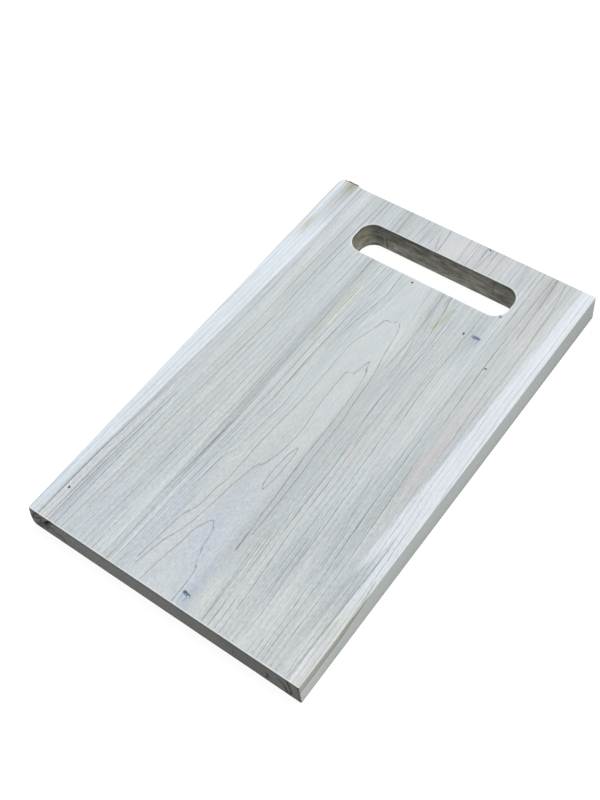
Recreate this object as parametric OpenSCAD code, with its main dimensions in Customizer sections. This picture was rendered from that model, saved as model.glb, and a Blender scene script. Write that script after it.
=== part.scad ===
// Cutting board cut from one solid plank, with a hand slot near one end.
// Origin: middle of the underside. +X across the grain, +Y along the grain
// towards the hand slot, +Z up. Millimetres.

/* [Board] */
// Width of the board, across the grain
board_width = 250; // [200:1:320]
// Length of the board, along the grain
board_length = 400; // [320:1:520]
// Thickness of the plank
board_thickness = 26; // [18:0.5:40]
// Width of the narrow flat that breaks each sharp edge
edge_flat = 0.5; // [0.2:0.1:1.5]

/* [Rounded lower edges] */
// Radius of the lower long edge on the left
left_lower_radius = 3; // [2:0.5:12]
// Radius of the lower long edge on the right
right_lower_radius = 1.5; // [1:0.5:12]

/* [Hand slot] */
// Length of the slot, across the board
slot_length = 150; // [100:1:160]
// Width of the slot, along the board
slot_width = 33; // [28:1:45]
// Radius of the slot's four corners
slot_corner_radius = 13; // [5:0.5:14]
// Wood left between the slot and the end of the board
slot_to_end = 28; // [18:1:45]
// How far the slot's middle lies to the right of the board's middle
slot_offset = -1.5; // [-10:0.5:10]

/* [Hidden] */
$fn = 96;
overlap = 1;
slot_middle = board_length / 2 - slot_to_end - slot_width / 2;

// Square with its corner at the origin, less the quarter circle that rounds that corner
module corner_waste(radius) {
  difference() {
    translate([-overlap, -overlap]) square(radius + overlap);
    translate([radius, radius]) circle(radius);
  }
}

// Triangle that takes a flat off a square corner at the origin
module flat_waste() {
  reach = edge_flat + overlap;
  polygon([[-overlap, -overlap], [reach, -overlap], [-overlap, reach]]);
}

// Section across the grain: X across, Y up
module width_section() {
  difference() {
    translate([-board_width / 2, 0]) square([board_width, board_thickness]);
    translate([-board_width / 2, 0]) corner_waste(left_lower_radius);
    translate([board_width / 2, 0]) mirror([1, 0]) corner_waste(right_lower_radius);
    for (side = [0, 1])
      mirror([side, 0])
        translate([-board_width / 2, board_thickness]) mirror([0, 1]) flat_waste();
  }
}

// Section along the grain: X along, Y up
module length_section() {
  difference() {
    translate([-board_length / 2, 0]) square([board_length, board_thickness]);
    for (end = [0, 1])
      mirror([end, 0]) {
        translate([-board_length / 2, 0]) flat_waste();
        translate([-board_length / 2, board_thickness]) mirror([0, 1]) flat_waste();
      }
  }
}

// Plank with its edges broken
module plank() {
  intersection() {
    translate([0, board_length / 2, 0])
      rotate([90, 0, 0]) linear_extrude(board_length) width_section();
    translate([-board_width / 2, 0, 0])
      rotate([90, 0, 90]) linear_extrude(board_width) length_section();
  }
}

// Rectangle with round corners, centred on the origin
module slot_outline() {
  square([slot_length, slot_width - 2 * slot_corner_radius], center = true);
  square([slot_length - 2 * slot_corner_radius, slot_width], center = true);
  for (x = [-1, 1], y = [-1, 1])
    translate([x * (slot_length / 2 - slot_corner_radius), y * (slot_width / 2 - slot_corner_radius)])
      circle(slot_corner_radius);
}

// Sloping rim of the slot's mouth: a bevelled bar of the given size, standing on its narrow face
module rim_bar(length, width) {
  rotate([90, 0, 90])
    linear_extrude(length, center = true)
      polygon([
        [-width / 2, 0], [width / 2, 0],
        [width / 2 + edge_flat + overlap, edge_flat + overlap],
        [-width / 2 - edge_flat - overlap, edge_flat + overlap]
      ]);
}

// Whole rim of the slot's mouth: it leaves a flat round the mouth
module slot_rim() {
  straight_length = slot_length - 2 * slot_corner_radius;
  straight_width = slot_width - 2 * slot_corner_radius;
  rim_height = edge_flat + overlap;
  rim_bar(straight_length, slot_width);
  rotate([0, 0, 90]) rim_bar(straight_width, slot_length);
  for (x = [-1, 1], y = [-1, 1])
    translate([x * straight_length / 2, y * straight_width / 2, 0])
      cylinder(h = rim_height, r1 = slot_corner_radius, r2 = slot_corner_radius + rim_height);
}

// Hand slot, right through the plank, with its two rims
module hand_slot() {
  translate([slot_offset, slot_middle, 0]) {
    translate([0, 0, -overlap]) linear_extrude(board_thickness + 2 * overlap) slot_outline();
    translate([0, 0, board_thickness - edge_flat]) slot_rim();
    translate([0, 0, edge_flat]) mirror([0, 0, 1]) slot_rim();
  }
}

// The whole board: one solid piece of wood
module board() {
  color([0.80, 0.82, 0.82])
    difference() {
      plank();
      hand_slot();
    }
}

board();
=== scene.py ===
"""Looks of the cutting board: one solid plank of pale flat-sawn wood with a hand slot near one end.

Lengths are in millimetres in the part's own frame (x across the grain, y along it towards the hand
slot, z up from the underside), unless a comment says otherwise.
"""

import math
import random
from collections import namedtuple
from types import SimpleNamespace

import bpy
import numpy as np
from mathutils import Matrix, Vector, noise
from mathutils.geometry import delaunay_2d_cdt


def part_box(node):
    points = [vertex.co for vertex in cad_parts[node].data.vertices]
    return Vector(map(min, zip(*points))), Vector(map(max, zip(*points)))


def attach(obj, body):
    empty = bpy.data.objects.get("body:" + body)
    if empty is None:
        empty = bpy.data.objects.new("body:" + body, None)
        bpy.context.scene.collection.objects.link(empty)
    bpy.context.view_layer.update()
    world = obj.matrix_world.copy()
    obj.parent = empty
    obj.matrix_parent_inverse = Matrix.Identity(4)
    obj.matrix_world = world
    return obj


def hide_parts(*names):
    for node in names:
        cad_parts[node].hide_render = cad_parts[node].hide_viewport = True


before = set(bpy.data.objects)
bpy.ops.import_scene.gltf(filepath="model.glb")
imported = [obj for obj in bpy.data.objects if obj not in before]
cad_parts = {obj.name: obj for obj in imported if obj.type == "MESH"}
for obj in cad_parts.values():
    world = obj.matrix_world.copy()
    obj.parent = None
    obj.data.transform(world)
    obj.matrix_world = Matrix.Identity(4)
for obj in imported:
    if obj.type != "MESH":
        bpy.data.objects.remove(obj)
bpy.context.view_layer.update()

METRE = 0.001

# ---- sizes, mm

board_low, board_high = (Vector(corner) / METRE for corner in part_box("board"))
LEFT, NEAR, BOTTOM = board_low
RIGHT, FAR, TOP = board_high
LENGTH = FAR - NEAR

SLOT_LENGTH = 150.0
SLOT_WIDTH = 33.0
SLOT_CORNER = 13.0
SLOT_TO_END = 28.0
SLOT_X = -1.5
SLOT_Y = FAR - SLOT_TO_END - SLOT_WIDTH / 2

ARRIS = 0.55
LEFT_LOWER_RADIUS = 3.0
RIGHT_LOWER_RADIUS = 1.5
CORNER_RADIUS = 0.8

# Distances between neighbouring points of the mesh, along a face and up the walls
TOP_PITCH = 1.9
UNDERSIDE_PITCH = 3.0
WALL_PITCH = 1.7
WALL_RISE = 1.4
VOID_PITCH = 0.6

# Steps round each corner
OUTER_CORNER_STEPS = 4
SLOT_CORNER_STEPS = 14

# How far from the outline the points inside a face begin
TOP_MARGIN = 1.6
UNDERSIDE_MARGIN = LEFT_LOWER_RADIUS + 2

random_source = random.Random(7)


# ---- the plank's mesh

def round_inset(height, radius):
    """How far a rounded edge of this radius has drawn in at a height measured from its face."""
    rise = min(max(height, 0.0), radius)
    return radius - math.sqrt(radius**2 - (radius - rise) ** 2)


def spaced(start, end, pitch, fine=None):
    """Places from start up to but not including end, about pitch apart, closer inside the fine range."""
    places = []
    at = start
    step_sign = 1 if end > start else -1
    while (end - at) * step_sign > pitch * 0.5:
        places.append(at)
        inside = fine and fine[0] < at < fine[1]
        at += step_sign * (fine[2] if inside else pitch)
    return places


def rounded_rectangle(low, high, radius, pitch, corner_steps, fine_near=None):
    """Points round a rectangle with round corners, as (side, place) marks that any size can reuse."""
    marks = []
    width = high[0] - low[0]
    depth = high[1] - low[1]
    runs = (
        ("near", spaced(low[0] + radius, high[0] - radius, pitch, fine_near), low[0], width),
        ("right", spaced(low[1] + radius, high[1] - radius, pitch), low[1], depth),
        ("far", spaced(high[0] - radius, low[0] + radius, pitch), low[0], width),
        ("left", spaced(high[1] - radius, low[1] + radius, pitch), low[1], depth),
    )
    for side, places, start, span in runs:
        for place in places:
            marks.append((side, (place - start - radius) / (span - 2 * radius)))
        for step in range(corner_steps):
            marks.append((side + "_corner", step / corner_steps))
    return marks


def outline_point(mark, low, high, radius):
    """The point that a mark stands for on a rounded rectangle of this size."""
    side, part = mark
    inner_low = (low[0] + radius, low[1] + radius)
    inner_high = (high[0] - radius, high[1] - radius)
    x = inner_low[0] + part * (inner_high[0] - inner_low[0])
    y = inner_low[1] + part * (inner_high[1] - inner_low[1])
    straight = {
        "near": (x, low[1]),
        "right": (high[0], y),
        "far": (x, high[1]),
        "left": (low[0], y),
    }
    if side in straight:
        return straight[side]
    corner, turn = {
        "near_corner": ((inner_high[0], inner_low[1]), -90),
        "right_corner": (inner_high, 0),
        "far_corner": ((inner_low[0], inner_high[1]), 90),
        "left_corner": (inner_low, 180),
    }[side]
    angle = math.radians(turn + 90 * part)
    return (corner[0] + radius * math.cos(angle), corner[1] + radius * math.sin(angle))


def edge_heights():
    """Heights of the rings of vertices up the board's edge, closest together where an edge is round."""
    low_round = [LEFT_LOWER_RADIUS * (1 - math.cos(math.radians(turn))) for turn in range(0, 91, 10)]
    arris_low = [ARRIS * (1 - math.cos(math.radians(turn))) for turn in (45, 90)]
    straight = list(np.arange(LEFT_LOWER_RADIUS + WALL_RISE, TOP - ARRIS - 0.5, WALL_RISE))
    arris_high = [TOP - ARRIS * (1 - math.cos(math.radians(turn))) for turn in (90, 45, 0)]
    return sorted({round(float(height), 4) for height in low_round + arris_low + straight + arris_high})


def outer_ring(marks, height):
    """The board's outline at a height."""
    arris = round_inset(min(height, TOP - height), ARRIS)
    top_arris = round_inset(TOP - height, ARRIS)
    low = (LEFT + max(round_inset(height, LEFT_LOWER_RADIUS), top_arris), NEAR + arris)
    high = (RIGHT - max(round_inset(height, RIGHT_LOWER_RADIUS), top_arris), FAR - arris)
    return [(*outline_point(mark, low, high, CORNER_RADIUS), height) for mark in marks]


def slot_ring(marks, height):
    """The hand slot's outline at a height."""
    arris = round_inset(min(height, TOP - height), ARRIS)
    reach = (SLOT_LENGTH / 2 + arris, SLOT_WIDTH / 2 + arris)
    low = (SLOT_X - reach[0], SLOT_Y - reach[1])
    high = (SLOT_X + reach[0], SLOT_Y + reach[1])
    return [(*outline_point(mark, low, high, SLOT_CORNER + arris), height) for mark in marks]


def slot_distance(x, y):
    """Distance from the slot's outline, positive outside it."""
    dx = abs(x - SLOT_X) - (SLOT_LENGTH / 2 - SLOT_CORNER)
    dy = abs(y - SLOT_Y) - (SLOT_WIDTH / 2 - SLOT_CORNER)
    outside = math.hypot(max(dx, 0), max(dy, 0))
    return outside + min(max(dx, dy), 0) - SLOT_CORNER


# Insect holes, with their turn in degrees and the screen values of their bottom and rim
Pit = namedtuple("Pit", "x y half_length half_width turn depth inside rim")
PITS = (
    # galleries
    Pit(18.6, -188.5, 3.1, 1.3, -14, 0.9, (126, 141, 166), (62, 82, 108)),
    Pit(66.8, 113.3, 3.6, 1.6, 3, 0.9, (122, 136, 154), (100, 116, 136)),
    # dots
    Pit(56.3, 111.8, 0.9, 1.4, 10, 1.2, (122, 122, 136), (148, 152, 160)),
    Pit(88.9, 90.8, 1.1, 1.5, 0, 1.0, (205, 212, 222), (112, 116, 132)),
    Pit(71.3, 142.2, 1.3, 1.5, 30, 1.2, (128, 142, 150), (140, 154, 162)),
    # pinholes
    Pit(-6.9, 134.2, 0.8, 0.9, 0, 2.5, (86, 86, 104), (150, 150, 162)),
    Pit(28.2, 198.0, 0.8, 0.9, 0, 2.0, (92, 90, 84), (140, 140, 138)),
    Pit(-111.2, -169.9, 0.9, 0.95, 0, 3.0, (48, 50, 52), (120, 122, 122)),
)
# The rings of points round a pit, as shares of its size
PIT_RINGS = (1.5, 1.15, 1.0, 0.85, 0.65, 0.35)
PIT_CORNERS = 16
# How square a pit is: 2 is an ellipse
PIT_POWER = 3.4


def pit_place(pit, x, y):
    """Distance from a pit's middle, where 1 is its rim. X and y are both numbers or both fields."""
    turn = math.radians(pit.turn)
    off_x = x - pit.x
    off_y = y - pit.y
    along = abs(off_x * math.cos(turn) + off_y * math.sin(turn)) / pit.half_length
    across = abs(off_y * math.cos(turn) - off_x * math.sin(turn)) / pit.half_width
    return (along**PIT_POWER + across**PIT_POWER) ** (1 / PIT_POWER)


def squared_off(value):
    """A sine or cosine drawn out so that a circle becomes as square as a pit."""
    return math.copysign(abs(value) ** (2 / PIT_POWER), value)


def pit_points(pit):
    """Rings of points that give a pit its rim, wall and floor."""
    turn = math.radians(pit.turn)
    points = [(pit.x, pit.y)]
    for scale in PIT_RINGS:
        for step in range(PIT_CORNERS):
            angle = 2 * math.pi * step / PIT_CORNERS
            along = squared_off(math.cos(angle)) * pit.half_length * scale
            across = squared_off(math.sin(angle)) * pit.half_width * scale
            points.append((
                pit.x + along * math.cos(turn) - across * math.sin(turn),
                pit.y + along * math.sin(turn) + across * math.cos(turn),
            ))
    return points


def face_points(pitch, margin, pits):
    """Points spread over a face, clear of its edges and of the pits, which bring their own."""
    points = []
    jitter = pitch * 0.22
    for row, y in enumerate(np.arange(NEAR + margin, FAR - margin, pitch * 0.87)):
        for x in np.arange(LEFT + margin + (row % 2) * pitch / 2, RIGHT - margin, pitch):
            px = x + random_source.uniform(-jitter, jitter)
            py = y + random_source.uniform(-jitter, jitter)
            if slot_distance(px, py) < pitch * 0.7 + ARRIS:
                continue
            if any(pit_place(pit, px, py) < PIT_RINGS[0] + pitch * 0.25 for pit in pits):
                continue
            points.append((px, py))
    for pit in pits:
        points += [
            point for point in pit_points(pit)
            if slot_distance(*point) > ARRIS + 0.3 and point[1] < FAR - ARRIS - 0.3
        ]
    return points


def face_triangles(outer, slot, pitch, margin, pits):
    """Extra points and triangles that fill a face between its outline and the slot."""
    loops = [point[:2] for point in (*outer, *slot)]
    inside = face_points(pitch, margin, pits)
    edges = [(i, (i + 1) % len(outer)) for i in range(len(outer))]
    first = len(outer)
    edges += [(first + i, first + (i + 1) % len(slot)) for i in range(len(slot))]
    coordinates = [Vector(point) for point in loops + inside]
    points, _, faces, origins, _, _ = delaunay_2d_cdt(coordinates, edges, [], 1, 1e-5)
    if len(points) != len(coordinates) or any(o != [i] for i, o in enumerate(origins)):
        raise RuntimeError("two points of a face fell on each other")
    kept = []
    for face in faces:
        x, y = (sum(points[i][axis] for i in face) / 3 for axis in (0, 1))
        if slot_distance(x, y) > 0:
            kept.append(tuple(face))
    return inside, kept


def surface_height(x, y, pits):
    """How far the worked face lies above its ideal plane."""
    height = 0.05 * noise.noise((x / 45, y / 70, 0)) + 0.015 * noise.noise((x / 6, y / 60, 4))
    for pit in pits:
        place = pit_place(pit, x, y)
        if place < 1.15:
            share = min(max((1.1 - place) / 0.5, 0), 1)
            height -= pit.depth * share * share * (3 - 2 * share)
    return height


def bell(value, middle, reach):
    """A smooth rise to 1 at middle that has faded out a few reaches away."""
    return math.exp(-(((value - middle) / reach) ** 2))


# The left side is the log's own curve: it swells past the sawn width, most at this height
SWELL = 3.0
SWELL_HEIGHT = 8.3
SWELL_REACH = 14.0

# The void leans to the right as it climbs the near end
VOID_X = -108.4
VOID_Z = 18.4
VOID_LEAN = 0.77
VOID_DEPTH = 5.0
VOID_HALF_WIDTH = 1.0
VOID_HALF_HEIGHT = 6.0
VOID_REACH = 8.0

# A scrap of bark stands past the far end between these two places
BARK_LEFT = -121.2
BARK_RIGHT = -106.0
BARK_REACH = 3.8


def left_swell(z):
    """How far the left side stands past the sawn width at a height."""
    if z > SWELL_HEIGHT:
        return SWELL * (1 - ((z - SWELL_HEIGHT) / (TOP - SWELL_HEIGHT)) ** 1.35)
    return SWELL * (1 - 0.3 * ((SWELL_HEIGHT - z) / SWELL_HEIGHT) ** 2)


def bark_rise(x, z):
    """How far the bark that is left at one corner stands past the far end."""
    from_left = 1 / (1 + math.exp((BARK_LEFT - x) / 0.8))
    from_right = 1 / (1 + math.exp((x - BARK_RIGHT) / 1.5))
    below_top = min(TOP - z, 1)
    rough = 0.85 + 0.4 * noise.noise((x / 2.5, 3, z / 3))
    return BARK_REACH * rough * from_left * from_right * below_top * bell(z, TOP, 14)


def worked_edge(x, y, z):
    """Where a point of the board's edge really lies: the log's own curve, saw waves, bark and a void."""
    wave = 0.12 * noise.noise((x / 30, y / 35, z / 20)) + 0.04 * noise.noise((x / 5, y / 5, z / 5))
    if x < LEFT + SWELL_REACH:
        share = min((LEFT + SWELL_REACH - x) / (SWELL_REACH - CORNER_RADIUS), 1) ** 2
        swell = left_swell(z) * (1 + 0.12 * noise.noise((3, y / 70, 0)))
        far_corner = 1.4 * bell(y, FAR, 5) * z / TOP
        x += (far_corner - swell) * share + wave * min(max((LEFT + 2 - x) / 2, 0), 1)
    if y < NEAR + ARRIS * 1.2:
        off_void = x - VOID_X - VOID_LEAN * (z - VOID_Z)
        open_here = bell(off_void, 0, VOID_HALF_WIDTH) * bell(z, VOID_Z, VOID_HALF_HEIGHT)
        below_top = min((TOP - z) / 3, 1)
        y += wave * 0.6 + VOID_DEPTH * open_here * below_top
    if y > FAR - ARRIS * 1.2:
        y += wave * 0.6 + bark_rise(x, z)
    return x, y, z


def add_walls(points, faces, rings, inward):
    """Adds rings of points and the walls between them, and returns the indices of each ring."""
    made = []
    for ring in rings:
        made.append(range(len(points), len(points) + len(ring)))
        points.extend(ring)
    count = len(rings[0])
    for lower, upper in zip(made, made[1:]):
        for i in range(count):
            j = (i + 1) % count
            face = (lower[i], lower[j], upper[j], upper[i])
            faces.append(face[::-1] if inward else face)
    return made


def add_face(points, faces, outer, slot, pitch, margin, pits, flip):
    """Fills the face between two rings, given by their points' indices."""
    rings = [[points[i] for i in ring] for ring in (outer, slot)]
    inside, triangles = face_triangles(*rings, pitch, margin, pits)
    new = range(len(points), len(points) + len(inside))
    names = [*outer, *slot, *new]
    for x, y in inside:
        lift = surface_height(x, y, pits)
        points.append((x, y, BOTTOM + abs(lift) * 0.5 if flip else TOP + lift))
    for triangle in triangles:
        named = tuple(names[i] for i in triangle)
        faces.append(named[::-1] if flip else named)


def board_mesh():
    """The whole plank as one closed mesh."""
    slot_low = (SLOT_X - SLOT_LENGTH / 2, SLOT_Y - SLOT_WIDTH / 2)
    slot_high = (SLOT_X + SLOT_LENGTH / 2, SLOT_Y + SLOT_WIDTH / 2)
    void_range = (VOID_X - VOID_REACH, VOID_X + VOID_REACH, VOID_PITCH)
    outer_marks = rounded_rectangle(
        (LEFT, NEAR), (RIGHT, FAR), CORNER_RADIUS, WALL_PITCH, OUTER_CORNER_STEPS, void_range)
    slot_marks = rounded_rectangle(slot_low, slot_high, SLOT_CORNER, WALL_PITCH, SLOT_CORNER_STEPS)
    heights = edge_heights()
    points = []
    faces = []
    outer_rings = [[worked_edge(*p) for p in outer_ring(outer_marks, height)] for height in heights]
    outer = add_walls(points, faces, outer_rings, False)
    slot = add_walls(points, faces, [slot_ring(slot_marks, height) for height in heights], True)
    add_face(points, faces, outer[-1], slot[-1], TOP_PITCH, TOP_MARGIN, PITS, False)
    add_face(points, faces, outer[0], slot[0], UNDERSIDE_PITCH, UNDERSIDE_MARGIN, (), True)

    mesh = bpy.data.meshes.new("plank")
    mesh.from_pydata([Vector(point) * METRE for point in points], [], faces)
    mesh.validate()
    mesh.polygons.foreach_set("use_smooth", [True] * len(mesh.polygons))
    mesh.update()
    return mesh


# ---- arithmetic on shader nodes

class Field:
    """A number worked out at each point of a surface. Arithmetic on it adds nodes to the material."""

    def __init__(self, tree, socket):
        self.tree = tree
        self.socket = socket

    def node(self, kind, settings, inputs, output=0):
        """Adds a node of this kind and returns what comes out of it."""
        made = self.tree.nodes.new(kind)
        for name, value in settings.items():
            setattr(made, name, value)
        for name, value in inputs.items():
            if isinstance(value, Field):
                self.tree.links.new(value.socket, made.inputs[name])
            else:
                made.inputs[name].default_value = value
        return Field(self.tree, made.outputs[output])

    def math(self, operation, *others):
        inputs = dict(enumerate((self, *others)))
        return self.node("ShaderNodeMath", {"operation": operation}, inputs)

    def __add__(self, other):
        return self.math("ADD", other)

    def __sub__(self, other):
        return self.math("SUBTRACT", other)

    def __mul__(self, other):
        return self.math("MULTIPLY", other)

    def __truediv__(self, other):
        return self.math("DIVIDE", other)

    def __rsub__(self, other):
        return self * -1 + other

    def __rtruediv__(self, other):
        return self**-1 * other

    __rmul__ = __mul__

    def __pow__(self, exponent):
        return self.math("POWER", exponent)

    def __abs__(self):
        return self.math("ABSOLUTE")

    def root(self):
        return self.math("SQRT")

    def squared(self):
        return self * self

    def ramp(self, start, end):
        """0 up to start, 1 from end on, and smooth between them. Start may be above end."""
        settings = {"interpolation_type": "SMOOTHSTEP"}
        if start > end:
            return 1 - self.ramp(end, start)
        return self.node("ShaderNodeMapRange", settings, {0: self, 1: start, 2: end, 3: 0.0, 4: 1.0})

    def curve(self, places, values):
        """A smooth curve through given values."""
        low, high = min(values), max(values)
        span = places[-1] - places[0]
        part = (self - places[0]) / span
        marks = [((place - places[0]) / span, (value - low) / (high - low))
                 for place, value in zip(places, values)]
        return part.drawn_curve(marks) * (high - low) + low

    def drawn_curve(self, marks):
        """A smooth curve through marks that lie between (0, 0) and (1, 1)."""
        made = self.tree.nodes.new("ShaderNodeFloatCurve")
        line = made.mapping.curves[0]
        line.points[0].location = marks[0]
        line.points[1].location = marks[-1]
        for mark in marks[1:-1]:
            line.points.new(*mark)
        for point in line.points:
            point.handle_type = "AUTO_CLAMPED"
        made.mapping.update()
        self.tree.links.new(self.socket, made.inputs["Value"])
        return Field(self.tree, made.outputs[0])

    def bell(self, middle, reach):
        """A smooth rise to 1 at middle that has faded out a few reaches away."""
        return (((self - middle) / reach).squared() * -1).math("EXPONENT")


def noise_field(x, y, z, detail=2.0, roughness=0.5):
    """Smooth random values from about -0.5 to 0.5 in the space of three values."""
    where = x.node("ShaderNodeCombineXYZ", {}, {0: x, 1: y, 2: z})
    inputs = {"Vector": where, "Scale": 1.0, "Detail": detail, "Roughness": roughness}
    return x.node("ShaderNodeTexNoise", {"noise_dimensions": "3D"}, inputs) - 0.5


def add_socket(group, in_out, field):
    kind = "NodeSocketVector" if field.socket.type == "VECTOR" else "NodeSocketFloat"
    group.interface.new_socket("value", in_out=in_out, socket_type=kind)


def layer(paint, *inputs):
    """Puts the nodes that paint adds into a node group of their own and returns the group's results."""
    group = bpy.data.node_groups.new(paint.__name__, "ShaderNodeTree")
    for field in inputs:
        add_socket(group, "INPUT", field)
    start = group.nodes.new("NodeGroupInput")
    results = paint(*(Field(group, start.outputs[number]) for number in range(len(inputs))))
    if isinstance(results, Field):
        results = (results,)
    for result in results:
        add_socket(group, "OUTPUT", result)
    end = group.nodes.new("NodeGroupOutput")
    for number, result in enumerate(results):
        group.links.new(result.socket, end.inputs[number])
    tree = inputs[0].tree
    made = tree.nodes.new("ShaderNodeGroup")
    made.node_tree = group
    for number, field in enumerate(inputs):
        tree.links.new(field.socket, made.inputs[number])
    outcome = [Field(tree, socket) for socket in made.outputs]
    return outcome[0] if len(outcome) == 1 else outcome


def grey(level):
    """A colour field whose red, green and blue all are this level."""
    return level.node("ShaderNodeVectorMath", {"operation": "SCALE"}, {0: (1, 1, 1), "Scale": level})


def mixed(colour, amount, other):
    """The colour where amount is 0 and the other colour where it is 1."""
    settings = {"data_type": "VECTOR", "clamp_factor": True}
    return colour.node("ShaderNodeMix", settings, {0: amount, 4: colour, 5: other}, 1)


def shifted(colour, shift):
    """The colour with a shift of its red, green and blue added."""
    return colour.node("ShaderNodeVectorMath", {"operation": "ADD"}, {0: colour, 1: shift})


def tinted(colour, amount, shift):
    """The colour with part of a shift added."""
    part = colour.node("ShaderNodeVectorMath", {"operation": "SCALE"}, {0: shift, "Scale": amount})
    return shifted(colour, part)


def shaded(colour, level, tint):
    """The colour times a level and a tint."""
    for factor in (grey(level), tint):
        colour = colour.node("ShaderNodeVectorMath", {"operation": "MULTIPLY"}, {0: colour, 1: factor})
    return colour


# ---- the wood's figure

RING_PITCH = 4.0
FAR_PITCH = 3.9
PITH_DEPTH = 35.0
DEPTH_PER_RING = 3.6
# Ring lines lean outward with depth, fully so beyond this distance from the middle
OUTWARD_PER_DEPTH = 0.36
OUTWARD_REACH = 15.0


def face_rings(x, y):
    """Number of the growth ring that meets the cutting face at a place, and how fast it changes.

    Ring 0 is the innermost that reaches the face. Rings 0, 1 and 2 close into arches.
    """
    middle_ring = y.curve(
        (-200, -165, -140, -122, -92, -70, -47, -30, 0, 47, 70, 95, 138, 200),
        (-0.8, -0.4, -0.1, 0.1, 0, -0.14, 0, 0.35, 0.66, 1, 1.5, 2, 2.6, 2.6))
    middle_x = y.curve(
        (-200, -131, -110, -92, -30, 0, 30, 70, 95, 138, 200),
        (-2, -3, 5, 10, 11, 10, 10, 9, 8, 3, 0))
    left_reach = y.curve(
        (-200, -131, -92, -70, -30, 0, 60, 95, 200), (16, 10, 16, 11, 12.5, 14.5, 18, 17, 15))
    right_reach = y.curve(
        (-200, -131, -92, -47, 0, 47, 95, 200), (18, 18, 12.5, 9.5, 13.5, 12, 14, 15))
    sway = y.curve((-200, -150, -60, 0, 100, 200), (-2.2, -1.7, -0.6, 0, 0.6, 1.1))

    off = x - middle_x
    on_right = off.math("GREATER_THAN", 0.0)
    reach = left_reach + (right_reach - left_reach) * on_right
    roundness = reach.squared() / (2 * RING_PITCH**2)
    arm = ((off / RING_PITCH).squared() + roundness.squared()).root()
    arch = middle_ring + arm - roundness
    arch = arch - 0.62 * x.bell(-12, 8) * y.bell(-22, 40)
    arch = arch - 1.15 * x.bell(-19, 10) * y.bell(-60, 30)

    centred = x - 2 * x.bell(0, 60)
    flat = 7.5
    side_arm = ((centred / FAR_PITCH).squared() + flat**2).root()
    side = side_arm - flat + 0.9 + sway
    outer = abs(x - 4).ramp(14, 42)
    slope = abs(off) / RING_PITCH**2 / arm
    side_slope = abs(centred) / FAR_PITCH**2 / side_arm
    ring = arch + (side - arch) * outer
    slope = slope + (side_slope - slope) * outer
    return ring, slope


# Each leg is (y, x) down one side of a line that the rings draw on the cutting face.
ARCH_LEGS = (
    # third arch, the tallest
    ((-185, -30), (-160, -27.5), (-143, -25.5), (-135, -23), (-125, -19.5), (-110, -18.5), (-95, -16),
     (-70, -16), (-35, -14.5), (0, -12.5), (50, -12.5), (60, -11.5), (68, -9), (83, -4.5), (88, -3.6),
     (90, -2.4), (91, 4.2), (94.5, 6.2)),
    ((-125, 28), (-70, 27), (-40, 25.3), (-10, 25), (10, 22.5), (36, 20.6), (50, 18), (62, 15.6),
     (80, 13), (90, 10.4), (95, 8.2)),
    # second arch
    ((-190, -28), (-165, -23), (-148, -17), (-125, -13), (-100, -10), (-80, -6.4), (-75, -4.6),
     (-72.5, -1.8), (-68, -0.2), (-55, 2.6), (-35, 4), (0, 0.6), (29, 0.5), (31, 1.3), (31.9, 5.8),
     (34, 6.9), (40, 8), (46, 9.6), (48, 10.5)),
    ((-142, 25.8), (-110, 23.6), (-90, 22.5), (-50, 20), (0, 18.5), (15, 17.5), (28, 16), (36, 14.3),
     (43, 12), (47.5, 10.6)),
    # the small closed loop inside it
    ((-92, 10.6), (-85, 8.5), (-75, 7.7), (-60, 8.2), (-52, 9.6), (-46, 11.4)),
    ((-92, 10.9), (-85, 12.3), (-72, 13), (-58, 12.9), (-50, 12.3), (-46, 11.5)),
    # first arch
    ((-200, -17), (-175, -14), (-157, -11.2), (-148, -10.3), (-140, -8), (-134, -5.2), (-132.4, -3)),
    ((-200, 13), (-180, 12.6), (-172, 11.6), (-168, 10.4), (-162, 7.4), (-155, 5), (-143, 2.6),
     (-136, 0.5), (-132.8, -2.4)),
)

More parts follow.
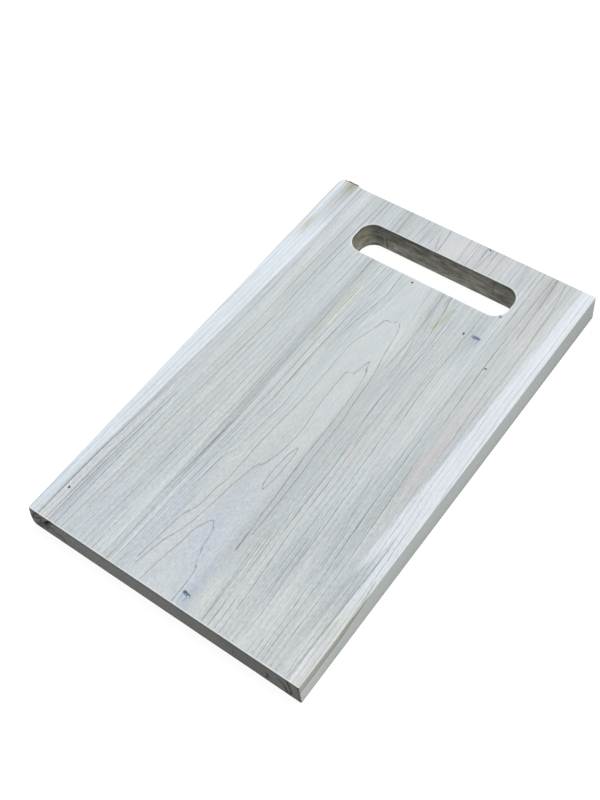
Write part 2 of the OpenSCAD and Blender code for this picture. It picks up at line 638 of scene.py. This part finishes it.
# Longer ring lines: ((y, x), ...), half width, darkness
RING_LINES = (
    (((90, -14), (105, -12.5), (138, -9)), 0.35, 24),
    (((45, -18.5), (70, -18), (90, -17.4), (115, -17), (138, -17.6)), 0.35, 20),
    (((40, 22), (70, 19), (108, 14), (138, 10)), 0.35, 24),
    (((50, 24), (82, 24.6), (103, 23.6), (138, 22)), 0.55, 30),
    (((42, 30.5), (77, 28.6), (85, 26.6), (103, 24.8), (138, 23.4)), 0.4, 26),
    (((-200, 84.5), (-130, 83.5), (-95, 82), (-75, 79), (-48, 73.5), (-30, 71), (0, 70), (20, 69.5),
      (45, 73), (100, 71), (110, 71)), 0.3, 24),
    (((-200, 69), (-140, 68.5), (-70, 63), (0, 58), (40, 57), (100, 61)), 0.3, 18),
    (((-110, 45), (-50, 43), (0, 38.5), (15, 37), (85, 41), (100, 40), (135, 38)), 0.4, 26),
    (((-22, 44.5), (0, 43.5)), 0.5, 26),
    (((-197, 40), (-160, 37.4), (-138, 35.8)), 0.35, 26),
    (((-165, 42.5), (-140, 40.5), (-110, 38)), 0.35, 22),
    (((-142, 25.4), (-125, 25)), 0.5, 30),
    (((174, -10.5), (190, -15.6)), 0.5, 42),
    (((174, -8), (200, -10.5)), 0.45, 40),
    (((174, 12), (200, 10)), 0.35, 34),
    (((174, 15.5), (200, 16.6)), 0.35, 30),
    (((174, 28.5), (200, 31)), 0.4, 38),
    (((-200, -52), (-100, -50), (0, -50), (100, -51), (200, -55)), 0.5, 16),
    (((-200, -47.5), (-100, -46.4), (0, -46), (100, -47), (200, -50)), 0.45, 18),
    (((-200, -34), (-60, -32), (40, -31), (110, -30.4), (138, -29.6)), 0.3, 18),
    (((-200, -39), (-60, -38.2), (40, -37), (138, -38)), 0.3, 16),
    (((40, -26.4), (70, -26), (138, -25.6)), 0.4, 20),
    (((-160, -99), (-30, -92), (60, -95)), 0.3, 12),
)

# Coloured streaks: ((y, x), ...), half width, change of red, green and blue
STREAKS = (
    (((48, -42.6), (80, -42.4), (106, -41.4)), 1.9, (-2, -4, -14)),
    (((103, 33.6), (116, 36), (129, 38)), 1.7, (-7, -9, -22)),
    (((102, 33.4), (128, 31.8)), 1.4, (-6, -8, -18)),
    (((-149, 36), (-118, 35)), 1.1, (-4, -6, -18)),
    (((130, 94), (150, 93), (180, 92.4), (200, 90.6)), 0.55, (-25, -30, -35)),
    (((135, 104), (185, 101), (198, 98.4)), 0.6, (-20, -24, -31)),
    (((-200, -43.4), (-100, -43), (40, -42.6)), 1.2, (12, 12, 10)),
    (((60, -39.4), (110, -38.6)), 0.6, (16, 16, 14)),
    (((60, 42.2), (110, 41.6)), 0.6, (14, 14, 12)),
    (((174, 66), (200, 64)), 1.4, (-10, -10, -9)),
    (((125, -103.6), (200, -104.2)), 0.8, (6, 7, 8)),
)

# Broad patches: x, y, reach across, reach along, change of red, green and blue
PATCHES = (
    (0, -210, 180, 80, (6, 6, 6)),
    (0, 205, 180, 30, (-5, -5, -4)),
    (20, -180, 6, 30, (-10, -7, 1)),
    (2, -140, 12, 50, (-6, -3, 5)),
    (-40, -150, 14, 55, (-4, -1, 5)),
    (32, -180, 5, 40, (10, 10, 8)),
    (84, -178, 7, 30, (10, 9, 8)),
    (-52, -155, 8, 55, (12, 13, 12)),
    (62, -125, 10, 35, (-7, -7, -7)),
    (-44, -70, 3, 45, (-8, -8, -7)),
    (74, -70, 6, 40, (-8, -8, -9)),
    (94, -60, 6, 60, (-6, -6, -7)),
    (-104, -160, 7, 45, (-6, -7, -5)),
    (48, 60, 7, 60, (-7, -7, -6)),
    (20, 60, 6, 40, (5, 5, 5)),
    (22, 188, 30, 14, (10, 5, 5)),
    (90, 186, 5, 18, (-8, -9, -10)),
    (-24, 186, 8, 14, (-14, -14, -13)),
    (-73, 186, 7, 20, (-11, -11, -9)),
    (-92, 186, 5, 20, (10, 10, 9)),
    (69, 184, 6, 18, (-10, -10, -10)),
    (-52, 115, 6, 40, (5, 5, 4)),
    (-80, 95, 8, 60, (-7, -6, -5)),
    (64, 116, 8, 30, (-14, -13, -13)),
    (-22, 75, 5, 50, (-7, -6, -5)),
    (28.5, 134, 1.6, 6, (-26, -24, -22)),
    (-4, -45, 0.8, 2.5, (-12, -16, -16)),
    (-120, -110, 7, 75, (9, 10, 10)),
    (-92, -60, 4.5, 120, (6, 6, 6)),
    (-52, -100, 4, 60, (8, 8, 7)),
    (-44, -75, 3, 25, (-6, -6, -6)),
    (-68, -110, 5, 50, (-7, -7, -6)),
    (-4, -75, 6, 55, (-7, -7, -6)),
    (68, -130, 5, 40, (-8, -8, -7)),
    (76, -80, 4, 50, (-5, -5, -5)),
    (84, -150, 4, 40, (8, 8, 7)),
    (108, 0, 5, 90, (-8, -8, -8)),
    (100, 0, 4, 40, (-4, -4, -4)),
    (24, 75, 12, 22, (8, 7, 7)),
    (24, -175, 8, 20, (6, 6, 6)),
    (98, 10, 5, 50, (3, -4, -4)),
    (-76, -165, 10, 60, (-3, 0, 4)),
    (96, 150, 10, 50, (1, -3, -5)),
    (49, -30, 3, 35, (2, -5, -4)),
    (-20, -70, 2, 25, (2, -4, -3)),
)


def slanted_line(across, along, leg, half_width, soft=1.2):
    """1 on a line of (along, across) places, kept equally thin where it slants."""
    places = [place for place, _ in leg]
    values = [value for _, value in leg]
    middle = along.curve(places, values)
    slant = (along + 1.0).curve(places, values) - middle
    off = abs(across - middle) / (slant.squared() + 1).root()
    return off.ramp(half_width * 1.2, half_width * 0.24) * between(along, places[0], places[-1], soft)


def between(value, low, high, soft):
    """1 between two values and 0 outside them."""
    reach = (high - low) / 2
    return abs(value - (low + high) / 2).ramp(reach + soft, reach - soft)


def line_along(across, along, y, leg, half_width):
    """1 on a line along the grain. Across and along run from 0 to 1 over the board."""
    width = RIGHT - LEFT
    marks = [((place - NEAR) / LENGTH, (value - LEFT) / width) for place, value in leg]
    off = abs(across - along.drawn_curve(marks))
    mask = off.ramp(half_width * 1.6 / width, half_width * 0.3 / width)
    if leg[0][0] > NEAR or leg[-1][0] < FAR:
        mask = mask * between(y, leg[0][0], leg[-1][0], 1.5)
    return mask


def paint_arches(colour, seat, y, broken):
    """The lines of the three arches and the small loop."""
    for leg in ARCH_LEGS:
        colour = tinted(colour, slanted_line(seat, y, leg, 0.5) * broken, (-42, -48, -47))
    return colour


def paint_ring_lines(colour, across, along, y, broken):
    """The longer ring lines beside the arches."""
    for leg, half_width, darkness in RING_LINES:
        line = line_along(across, along, y, leg, half_width) * broken
        colour = tinted(colour, line, (-darkness, -darkness, -darkness * 0.9))
    return colour


def paint_streaks(colour, across, along, y):
    """Coloured streaks along the grain."""
    for leg, half_width, shift in STREAKS:
        colour = tinted(colour, line_along(across, along, y, leg, half_width), shift)
    return colour


def patched(colour, seat, y, patches):
    """The colour with soft oval patches added."""
    for x_middle, y_middle, x_reach, y_reach, shift in patches:
        colour = tinted(colour, seat.bell(x_middle, x_reach) * y.bell(y_middle, y_reach), shift)
    return colour


def heartwood(seat, y, grain):
    """The grey-green wood between the two pale strips, in screen values."""
    level = seat.curve(
        (-125, -108, -101, -96, -88, -76, -56, -52, -48, -44, -40, -26, -12, 14, 24, 34, 44, 52, 60, 72,
         80, 92, 97, 104, 108, 125),
        (206, 206, 203, 209, 200, 205, 202, 196, 190, 196, 202, 204, 206, 205, 193, 197, 199, 204, 201,
         208, 198, 195, 203, 199, 206, 208))
    colour = shifted(grey(level + grain), (-5, 1, 3))
    return patched(colour, seat, y, PATCHES)


# Screen values of the two sapwood strips
LEFT_PALE = 229
RIGHT_PALE = 225

# Tan spots on the left strip, as in PATCHES
LEFT_SPOTS = (
    (-118.6, 141, 3, 13, (-22, -26, -44)),
    (-111, 200, 4.5, 12, (-26, -30, -50)),
)
# Seams beside the left strip: place (below 0 is towards the middle), half width, change of colour
LEFT_SEAMS = (
    (-2.2, 0.7, (-38, -34, -32)),
    (-6.0, 2.6, (5, 4, 4)),
    (-10.0, 0.5, (-30, -28, -26)),
    (-11.0, 0.4, (14, 14, 14)),
    (-12.4, 0.4, (-34, -30, -26)),
    (-18.0, 5.0, (-5, -4, -2)),
)


def left_strip(colour, seat, y, grain, edge_noise):
    """The pale sapwood along the left edge, its seams near one end and a grey stain at the other."""
    edge = y.curve(
        (-200, -150, -100, -60, 0, 60, 100, 130, 200),
        (-117.6, -116.6, -113.4, -111.5, -108.6, -107, -104.4, -103.4, -103))
    inward = edge - seat + edge_noise
    pale = shifted(grey(grain + LEFT_PALE), (-8, 0, 8))
    colour = mixed(colour, inward.ramp(-0.3, 0.9), pale)
    near_part = y.ramp(-35, -75)
    for offset, half_width, shift in LEFT_SEAMS:
        seam = abs(inward - offset).ramp(half_width * 1.4, half_width * 0.5)
        colour = tinted(colour, seam * near_part, shift)
    stained = y.ramp(118, 190) * between(seat, -119, -105, 3)
    colour = tinted(colour, stained, (-28, -31, -36))
    colour = patched(colour, seat, y, LEFT_SPOTS)
    return tinted(colour, abs(seat + 102).ramp(1.0, 0.3) * y.ramp(110, 150), (-24, -22, -18))


def right_strip(colour, seat, y, grain, edge_noise, on_face):
    """The pale sapwood along the right edge, with a grey wedge, a dark seam and warm bands beside it."""
    edge = y.curve(
        (-200, -125, -60, -30, 0, 60, 110, 200), (105, 105, 105.6, 107, 108.4, 110, 111, 113))
    inward = seat - edge + edge_noise
    pale = shifted(grey(grain + RIGHT_PALE), (-6, 0, 6))
    fading = y.ramp(-80, -122) * seat.ramp(116.4, 115.6)
    colour = mixed(colour, inward.ramp(-0.8, 1.8) * (1 - fading), pale)
    wedge_left = y.curve((-200, -125, -105, -85, -72, -66), (104, 105, 108, 112, 114.6, 115.4))
    wedge = (seat - wedge_left).ramp(-1.4, 1.0) * seat.ramp(116.6, 115.8)
    colour = tinted(colour, wedge * y.ramp(-66, -72) * y.ramp(-175, -120), (-15, -14, -13))
    seam_x = y.curve((-200, -150, -120, -80), (114, 114.8, 115.4, 116.2))
    seam = abs(seat - seam_x).ramp(0.8, 0.2) * y.ramp(-74, -84)
    colour = tinted(colour, seam, (-32, -28, -26))
    colour = tinted(colour, seat.ramp(117.6, 119) * y.ramp(-104, -130), (-8, -9, -9))
    colour = tinted(colour, seat.ramp(115, 117) * y.ramp(-110, -140), (3, 1, -4))
    colour = tinted(colour, seat.bell(118, 1.6) * y.bell(-157, 14), (-20, -18, -26))
    brown_x = y.curve((-152, -130, -108), (125.4, 124.4, 122.6))
    brown = abs(seat - brown_x).ramp(1.0, 0.2) * between(y, -152, -108, 2)
    return tinted(colour, brown * on_face, (-26, -34, -46))


def right_side(colour, y, z, on_side):
    """The sawn right side with painted shade, deeper towards the far end and the foot, and a tan band
    along its top near one end.
    """
    shade = y.curve((-200, -150, -60, 60, 140, 200), (0.985, 0.95, 0.905, 0.905, 0.865, 0.835))
    even = mixed(colour, 0.7, (209, 214, 212))
    # Painted shade darkens the side, more towards the far end
    shaded_side = shaded(even, shade, (0.985, 1.0, 0.985))
    colour = mixed(colour, on_side, shaded_side)
    # Painted shade towards the foot, where the glowing floor lights the side, darkest on its rounded
    # lower edge
    colour = tinted(colour, z.ramp(15, 0) * on_side, (-8, -9, -10))
    colour = tinted(colour, z.ramp(3.4, 1.4) * on_side, (-50, -50, -50))
    band_low = y.curve((-200, -175, -152, -135, -122, -112), (17.6, 17.7, 19, 22, 25, 27))
    band = (z - band_low).ramp(-0.7, 0.7) * y.ramp(-112, -122) * on_side
    colour = tinted(colour, band, (-26, -32, -38))
    rim = abs(z - band_low).ramp(1.3, 0.3) * y.ramp(-112, -126) * on_side
    colour = tinted(colour, rim, (-48, -48, -52))
    knot = abs(z - 25.5).ramp(1.6, 0.4) * between(y, -153, -137, 2) * on_side
    return tinted(colour, knot, (-34, -32, -42))


# Stains drawn out of the galleries: x, half width, the y where each starts and ends
DRAWN_STAINS = (
    (16.4, 0.5, -200, -187),
    (20, 0.45, -197, -190),
    (69.8, 0.5, 100, 112),
    (66.6, 0.4, 102, 112),
)


def insect_holes(colour, x, y, on_face):
    """Paints the galleries and pinholes, a painted highlight in the first gallery, and stains drawn down
    the grain from the galleries.
    """
    for pit in PITS:
        place = pit_place(pit, x, y)
        colour = mixed(colour, place.ramp(1.25, 0.95) * on_face, pit.rim)
        colour = mixed(colour, place.ramp(0.85, 0.55) * on_face, pit.inside)
    # A painted highlight at the end of the first gallery
    gallery_glint = (x - 20.6).squared() + (y + 189.3).squared()
    colour = mixed(colour, gallery_glint.ramp(1.0, 0.3) * on_face, (225, 232, 240))
    for stain_x, half_width, start, end in DRAWN_STAINS:
        streak = abs(x - stain_x).ramp(half_width * 1.6, half_width * 0.4)
        streak = streak * y.ramp(start, end) * y.ramp(end + 0.5, end)
        colour = tinted(colour, streak * on_face, (-44, -36, -24))
    return colour


def ring_lines(face_ring, slope, depth, radius, wander, broken, across_facing, up_facing):
    """Ring number at a point, and the dark and pale lines along each ring."""
    down = PITH_DEPTH / radius / DEPTH_PER_RING
    ring = face_ring - depth * down + wander
    rate = (
        slope.squared() * (1 - across_facing.squared())
        + 0.02**2
        + down.squared() * (1 - up_facing.squared())
    ).root()
    near_ring = ring.math("ROUND")
    off_line = (ring - near_ring) / rate
    strength = near_ring.node(
        "ShaderNodeTexWhiteNoise", {"noise_dimensions": "1D"}, {"W": near_ring + 0.5})
    hidden = near_ring.ramp(2.6, 2.4) * depth.ramp(1.6, 0.6)
    shown = broken * (1 - hidden)
    dark = abs(off_line).ramp(0.6, 0.1) * (strength * 0.8 + 0.2) * shown
    pale = abs(off_line - 0.9).ramp(0.6, 0.1) * strength * shown
    return ring, dark, pale


# Brings screen values to the paint that shows them under this scene's light
EXPOSURE = 0.915 / 255
SCREEN_GAMMA = 2.2

# Depth of the fine relief of fibres and pores
RELIEF = 0.08

# Lines on the near end, left by curled bark and the last rings: ((z, x), ...), half width, darkness
END_LINES = (
    (((12.6, -125.9), (18.7, -121.6), (24.4, -117.3), (27, -115.3)), 1.4, 115),
    (((10.9, -125.1), (15.1, -120.1), (19.1, -115.1), (21.6, -113)), 1.7, 80),
    (((2.6, -122.6), (7.3, -119.4), (12.3, -116.6), (15.9, -115.2), (19.1, -115)), 1.5, 90),
    (((3, -93.7), (8.7, -94.1)), 1.6, 50),
    (((0, 113.9), (4.4, 115.7), (9.1, 117.1), (13.7, 116.4), (20.9, 115.1), (25.9, 115)), 1.3, 95),
    (((1, 113.6), (6.6, 112.9), (12.3, 111.4), (18, 107.1)), 1.9, 62),
    (((4.4, 95), (8.7, 96.8), (14.4, 97.1)), 1.3, 72),
    (((8.7, 66.1), (14.4, 67.1)), 1.2, 34),
    (((-1, 123.2), (27, 123.6)), 0.8, 30),
)
# The curl that runs across, ((x, z), ...)
END_CURL = (
    (-120.1, 1.9), (-117.3, 5.9), (-112.6, 7.6), (-110.1, 10.1), (-106.6, 14.1), (-104.4, 12.6),
    (-100.1, 10.1), (-95.9, 10.9), (-94.1, 8.7))
# The void on the near end, ((z, x), ...)
VOID_LINE = ((10, -115), (VOID_Z, VOID_X), (27, -100.8))

# Scrapes on the slot's far wall: ((z, x), ...), half width, change of level
SLOT_SCRATCHES = (
    (((7.5, -64.4), (19.7, -65.3)), 0.9, 22),
    (((3.4, -59.4), (13.4, -60.7)), 0.8, 26),
    (((0.5, -57.4), (13.4, -58.5)), 0.8, -40),
    (((3.4, -49.5), (15, -49.8)), 0.9, 18),
    (((6, 47.5), (24, 48)), 1.0, -18),
)


def near_end(colour, x, z, depth, pores, on_end, on_near_end):
    """End grain: olive wood darkened for its own colour and as painted shade, varying along the near
    end, with the bark's curls and a void painted black as the shade inside it.
    """
    shade = x.curve(
        (-125, -106, -90, -50, 0, 40, 55, 70, 92, 105, 115, 125),
        (0.86, 0.9, 0.95, 1.0, 0.97, 0.96, 0.92, 0.85, 0.83, 0.91, 0.9, 0.87))
    even = mixed(colour, 0.45, (202, 204, 200))
    # End grain is darker wood; this level also holds painted shade for the ends, which face away from
    # the light
    darker = shaded(even, (pores * 0.26 + 0.53) * shade, (1, 1, 0.95))
    colour = mixed(colour, on_end, darker)
    for leg, half_width, darkness in END_LINES:
        line = slanted_line(x, z, leg, half_width) * on_near_end
        colour = tinted(colour, line, (-darkness, -darkness, -darkness))
    curl = slanted_line(z, x, END_CURL, 1.7) * on_near_end
    colour = tinted(colour, curl, (-54, -54, -56))
    colour = tinted(colour, depth.bell(2.6, 1.4) * on_end, (-25, -24, -23))
    # Painted shade along the foot of the ends, where the glowing floor lights them
    colour = tinted(colour, z.ramp(2.2, 0.8) * on_end, (-60, -60, -60))
    # The void is painted black: painted shade inside it
    void_shade = slanted_line(x, z, VOID_LINE, 2.8, 1.4) * on_near_end
    return mixed(colour, void_shade, (6, 5, 8))


def slot_walls(colour, x, z, depth, burn, scrapes, on_wall):
    """The slot's walls: darkened by the cutter's burn and by painted shade, blotched, with painted light
    on the left end and pale scrapes along them.
    """
    even = mixed(colour, 0.7, (203, 203, 198))
    # The level holds the cutter's burn and painted shade for walls deep in the slot, turned from the
    # light
    burnt_and_shaded = shaded(even, burn * 0.8 + scrapes * 0.35 + 0.66, (1.02, 1.0, 0.945))
    colour = mixed(colour, on_wall, burnt_and_shaded)
    colour = tinted(colour, scrapes.ramp(0.05, 0.3) * on_wall, (30, 30, 29))
    colour = tinted(colour, x.bell(-28, 26) * z.ramp(10, 17) * on_wall, (-16, -17, -17))
    colour = tinted(colour, x.ramp(42, 58) * z.ramp(16, 8) * on_wall, (-22, -22, -20))
    colour = tinted(colour, between(x, -70, -62, 3) * on_wall, (-22, -23, -22))
    # Painted light on the slot's left end, which faces the lamp
    colour = tinted(colour, x.ramp(-70, -75) * on_wall, (20, 19, 12))
    for leg, half_width, change in SLOT_SCRATCHES:
        line = slanted_line(x, z, leg, half_width) * on_wall
        colour = tinted(colour, line, (change, change, change))
    mouth_line = depth.bell(1.6, 0.8) * (x.ramp(45, 62) + 0.6) * on_wall
    return tinted(colour, mouth_line, (-28, -28, -27))


def edge_highlights_and_bark(colour, arris, near_crest, mouth_crest, beyond_end):
    """Painted highlights on the arrises, along the near end's crest and round the slot's mouth, and
    bark.
    """
    # Painted highlights: the lit arrises and crests as pale colour
    colour = mixed(colour, arris * 0.35, (250, 251, 250))
    colour = mixed(colour, near_crest * 0.8, (244, 250, 253))
    colour = mixed(colour, mouth_crest * 0.45, (246, 250, 252))
    return mixed(colour, beyond_end, (98, 94, 80))


def place_and_facing(tree):
    """Fields for where a point of the surface is, in millimetres, and which way it faces."""
    place = tree.nodes.new("ShaderNodeTexCoord")
    split = tree.nodes.new("ShaderNodeSeparateXYZ")
    tree.links.new(place.outputs["Object"], split.inputs[0])
    where = [Field(tree, split.outputs[axis]) / METRE for axis in range(3)]
    facing = tree.nodes.new("ShaderNodeSeparateXYZ")
    tree.links.new(place.outputs["Normal"], facing.inputs[0])
    return where, [Field(tree, facing.outputs[axis]) for axis in range(3)]


def wood_noises(x, y, z):
    """The random fields of the wood, each stretched along the grain as its fibres are."""
    return SimpleNamespace(
        ripple=noise_field(x / 2.6, y / 14, z / 2.6, 2.0),
        sway=noise_field(x / 26, y / 150, z / 26, 1.0),
        breaks=noise_field(x / 4, y / 40, z / 4, 2.0),
        fibres=noise_field(x * 0.9, y / 30, z * 0.9, 3.0, 0.7),
        hairs=noise_field(x * 2.6 + 9, y / 6, z * 2.6, 1.0, 0.6),
        warm=noise_field(x / 13 + 30, y / 160, z / 13, 2.0),
        pores=noise_field(x * 1.6, y * 1.6, z * 1.6, 3.0, 0.7),
        burn=noise_field(x / 12, y / 12, z / 3.5 + 7, 3.0, 0.6),
        scrapes=noise_field(x / 14, y / 14, z * 1.1 + 3, 2.0, 0.6),
        flecks=noise_field(x * 0.8, y / 3.2, z * 0.8, 2.0, 0.6),
    )


def wood_figure(true_x, true_y, z, noises, across_facing, up_facing):
    """The growth rings at a point, and the place that everything painted on them is drawn at."""
    ripple = noises.ripple
    # Everything drawn wavers a little with the fibres
    x = true_x + ripple * 0.9
    y = true_y + ripple * 1.2
    depth = TOP - z + ripple * 0.01
    broken = noises.breaks.ramp(-0.3, 0.12)
    radius = (x.squared() + PITH_DEPTH**2).root()
    seat = x - depth * OUTWARD_PER_DEPTH * x / (x.squared() + OUTWARD_REACH**2).root()
    wander = noises.sway * 1.6 * abs(x).ramp(14, 50) + ripple * 0.1
    face_ring, slope = layer(face_rings, x, y)
    ring, ring_line, pale_line = layer(
        ring_lines, face_ring, slope, depth, radius, wander, broken, across_facing, up_facing)

    bundles = noise_field(ring * 2.1, y / 100, 0.0, 2.0, 0.5)
    threads = noise_field(ring * 7.0 + 40, y / 55, 0.0, 2.0, 0.6)
    calm = ring.ramp(2.0, 4.0) * 0.65 + 0.35
    hairs = noises.hairs
    grain = (bundles * 30 + threads * 30 + hairs * 16) * calm + noises.fibres * 24 + hairs * 14
    grain = grain + noises.flecks * (y.ramp(60, -120) * 28 + 18)

    # What is painted on the rings follows their finest threads. This also keeps the shader small
    # enough to run: Cycles works these layers out one after another only if each needs the last noise.
    return SimpleNamespace(
        seat=seat + threads * 0.2,
        x=x + threads * 0.2,
        y=y + threads * 0.4,
        z=z + threads * 0.1,
        depth=depth + threads * 0.1,
        broken=broken + threads * 0.1,
        ripple=ripple,
        grain=grain,
        ring_line=ring_line,
        pale_line=pale_line,
    )


def painted_face(figure, warm, on_face):
    """The wood's colour as the cutting face shows it: strips, rings, streaks and insect holes."""
    seat, y = figure.seat, figure.y
    colour = layer(heartwood, seat, y, figure.grain)
    colour = tinted(colour, warm, (10, 1, -6))
    colour = layer(left_strip, colour, seat, y, figure.grain * 0.8, figure.ripple)
    colour = layer(right_strip, colour, seat, y, figure.grain * 0.8, figure.ripple, on_face)
    colour = tinted(colour, figure.ring_line, (-44, -42, -40))
    colour = tinted(colour, figure.pale_line, (11, 11, 10))
    across = (seat - LEFT) / (RIGHT - LEFT)
    along = (y - NEAR) / LENGTH
    zigzag = y + figure.ripple * 6
    colour = layer(paint_arches, colour, seat, zigzag, figure.broken * 0.4 + 0.6)
    colour = layer(paint_ring_lines, colour, across, along, y, figure.broken * 0.65 + 0.35)
    colour = layer(paint_streaks, colour, across, along, y)
    return layer(insect_holes, colour, figure.x, y, on_face)


def slot_distance_field(x, y):
    """Distance from the slot's outline, positive outside it."""
    off_x = (abs(x - SLOT_X) - (SLOT_LENGTH / 2 - SLOT_CORNER)).math("MAXIMUM", 0.0)
    off_y = (abs(y - SLOT_Y) - (SLOT_WIDTH / 2 - SLOT_CORNER)).math("MAXIMUM", 0.0)
    return (off_x.squared() + off_y.squared()).root() - SLOT_CORNER


def painted_edges(colour, figure, true_y, noises, facing):
    """The colour on the ends, the right side, the slot's walls and the painted highlights on the edges
    between them.

    Returns the colour and how far a point is on end grain.
    """
    across_facing, along_facing, up_facing = facing
    x, y, z, depth = figure.x, figure.y, figure.z, figure.depth
    # The walls' rounded feet count as wall too, and so take its painted shade
    foot = z.ramp(4, 2) * 0.35
    on_end = (abs(along_facing) + foot).ramp(0.4, 0.85)
    on_side = (across_facing + foot).ramp(0.4, 0.85)
    off_slot = slot_distance_field(x, y)
    in_slot = off_slot.ramp(1.0, 0.7) * abs(up_facing).ramp(0.8, 0.5)
    outside = off_slot.ramp(0.7, 1.0)
    colour = layer(right_side, colour, y, z, on_side)
    on_near_end = along_facing.ramp(-0.4, -0.7) * y.ramp(0, -100)
    colour = layer(near_end, colour, x, z, depth, noises.pores, on_end * outside, on_near_end)
    colour = layer(slot_walls, colour, x, z, depth, noises.burn, noises.scrapes, in_slot)

    arris = depth.ramp(1.0, 0.3) * up_facing.ramp(0.995, 0.93)
    on_top = depth.ramp(1.0, 0.6) * up_facing.ramp(0.2, 0.6)
    near_crest = (y - NEAR).ramp(1.3, 0.7) * on_top
    mouth_crest = off_slot.ramp(1.3, 0.8) * on_top
    beyond_end = true_y.ramp(FAR + 0.15, FAR + 0.6)
    colour = layer(edge_highlights_and_bark, colour, arris, near_crest, mouth_crest, beyond_end)
    return colour, on_end


def matt_shader(tree, colour, noises, on_end):
    """Gives the material its surface: the colour, a matt roughness and a fine relief."""
    scaled = colour.node("ShaderNodeVectorMath", {"operation": "SCALE"}, {0: colour, "Scale": EXPOSURE})
    shown = colour.node("ShaderNodeGamma", {}, {0: scaled, 1: SCREEN_GAMMA})
    shader = tree.nodes.new("ShaderNodeBsdfPrincipled")
    tree.links.new(shown.socket, shader.inputs["Base Color"])
    rough = noises.fibres * 0.3 + 0.62
    tree.links.new(rough.socket, shader.inputs["Roughness"])
    shader.inputs["Specular IOR Level"].default_value = 0.25

    relief = noises.fibres * 0.5 + noises.hairs * 0.5 + noises.pores * on_end
    bump = tree.nodes.new("ShaderNodeBump")
    bump.inputs["Strength"].default_value = 0.5
    bump.inputs["Distance"].default_value = RELIEF * METRE
    tree.links.new(relief.socket, bump.inputs["Height"])
    tree.links.new(bump.outputs[0], shader.inputs["Normal"])
    output = tree.nodes.new("ShaderNodeOutputMaterial")
    tree.links.new(shader.outputs[0], output.inputs["Surface"])


def wood_material():
    """Pale flat-sawn wood: growth rings, fibres, sapwood, stains, end grain and tool marks, with painted
    shade on its walls and painted highlights on its edges.
    """
    material = bpy.data.materials.new("pale_wood")
    material.use_nodes = True
    tree = material.node_tree
    tree.nodes.clear()
    (true_x, true_y, z), facing = place_and_facing(tree)
    across_facing, _, up_facing = facing
    noises = wood_noises(true_x, true_y, z)
    figure = wood_figure(true_x, true_y, z, noises, across_facing, up_facing)
    colour = painted_face(figure, noises.warm, up_facing.ramp(0.3, 0.6))
    colour, on_end = painted_edges(colour, figure, true_y, noises, facing)
    matt_shader(tree, colour, noises, on_end)
    return material


# ---- stage, lights and camera

def add_object(name, data):
    """A new object in the scene."""
    made = bpy.data.objects.new(name, data)
    bpy.context.scene.collection.objects.link(made)
    return made


FLOOR_GREY = 0.16
FLOOR_GLOW = 0.92
# Metres
FLOOR_REACH = 6.0


def floor_material():
    """Pale paper, lit from behind so that the board's shadow stays faint."""
    material = bpy.data.materials.new("pale_floor")
    material.use_nodes = True
    shader = material.node_tree.nodes["Principled BSDF"]
    shader.inputs["Base Color"].default_value = (FLOOR_GREY, FLOOR_GREY, FLOOR_GREY, 1)
    shader.inputs["Roughness"].default_value = 0.9
    shader.inputs["Emission Color"].default_value = (1, 1, 1, 1)
    shader.inputs["Emission Strength"].default_value = FLOOR_GLOW
    # Found by the rays that hit it, which leaves less speckle on the walls above it
    material.cycles.emission_sampling = "NONE"
    return material


def add_floor():
    """A plain pale floor."""
    mesh = bpy.data.meshes.new("floor")
    corners = [(x * FLOOR_REACH, y * FLOOR_REACH, 0) for x, y in ((-1, -1), (1, -1), (1, 1), (-1, 1))]
    mesh.from_pydata(corners, [], [(0, 1, 2, 3)])
    mesh.materials.append(floor_material())
    floor = add_object("floor", mesh)


# Metres and watts
LIGHT_PLACE = Vector((0.25, 0.9, 2.4))
LIGHT_SIZE = 1.8
LIGHT_POWER = 71
SKY_STRENGTH = 0.34


def add_lights():
    """Soft light from above, a little behind and to the right, over a dim pale sky."""
    data = bpy.data.lights.new("overhead", "AREA")
    data.shape = "SQUARE"
    data.size = LIGHT_SIZE
    data.energy = LIGHT_POWER
    light = add_object("overhead", data)
    light.location = LIGHT_PLACE
    light.rotation_euler = LIGHT_PLACE.to_track_quat("Z", "Y").to_euler()
    world = bpy.data.worlds.new("sky")
    world.use_nodes = True
    background = world.node_tree.nodes["Background"]
    background.inputs["Color"].default_value = (1, 1, 1, 1)
    background.inputs["Strength"].default_value = SKY_STRENGTH
    bpy.context.scene.world = world


CAMERA_PLACE = Vector((373.7, -429.6, 820.7)) * METRE
CAMERA_AIM = Vector((-13.75, -10.9, 26.0)) * METRE
CAMERA_ROLL = math.radians(-7.75)
CAMERA_LENS = 57.22


def add_camera():
    """The photographed view, from above the near right corner."""
    data = bpy.data.cameras.new("camera")
    data.lens = CAMERA_LENS
    data.sensor_width = 36
    data.clip_start = 0.01
    camera = add_object("camera", data)
    aim = (CAMERA_PLACE - CAMERA_AIM).to_track_quat("Z", "Y").to_matrix().to_4x4()
    camera.matrix_world = Matrix.Translation(CAMERA_PLACE) @ aim @ Matrix.Rotation(CAMERA_ROLL, 4, "Z")
    bpy.context.scene.camera = camera


# ---- the scene

add_camera()
add_floor()
add_lights()
bpy.context.scene.view_settings.view_transform = "Standard"

board = add_object("board_plank", board_mesh())
board.data.materials.append(wood_material())
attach(board, "root")
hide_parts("board")
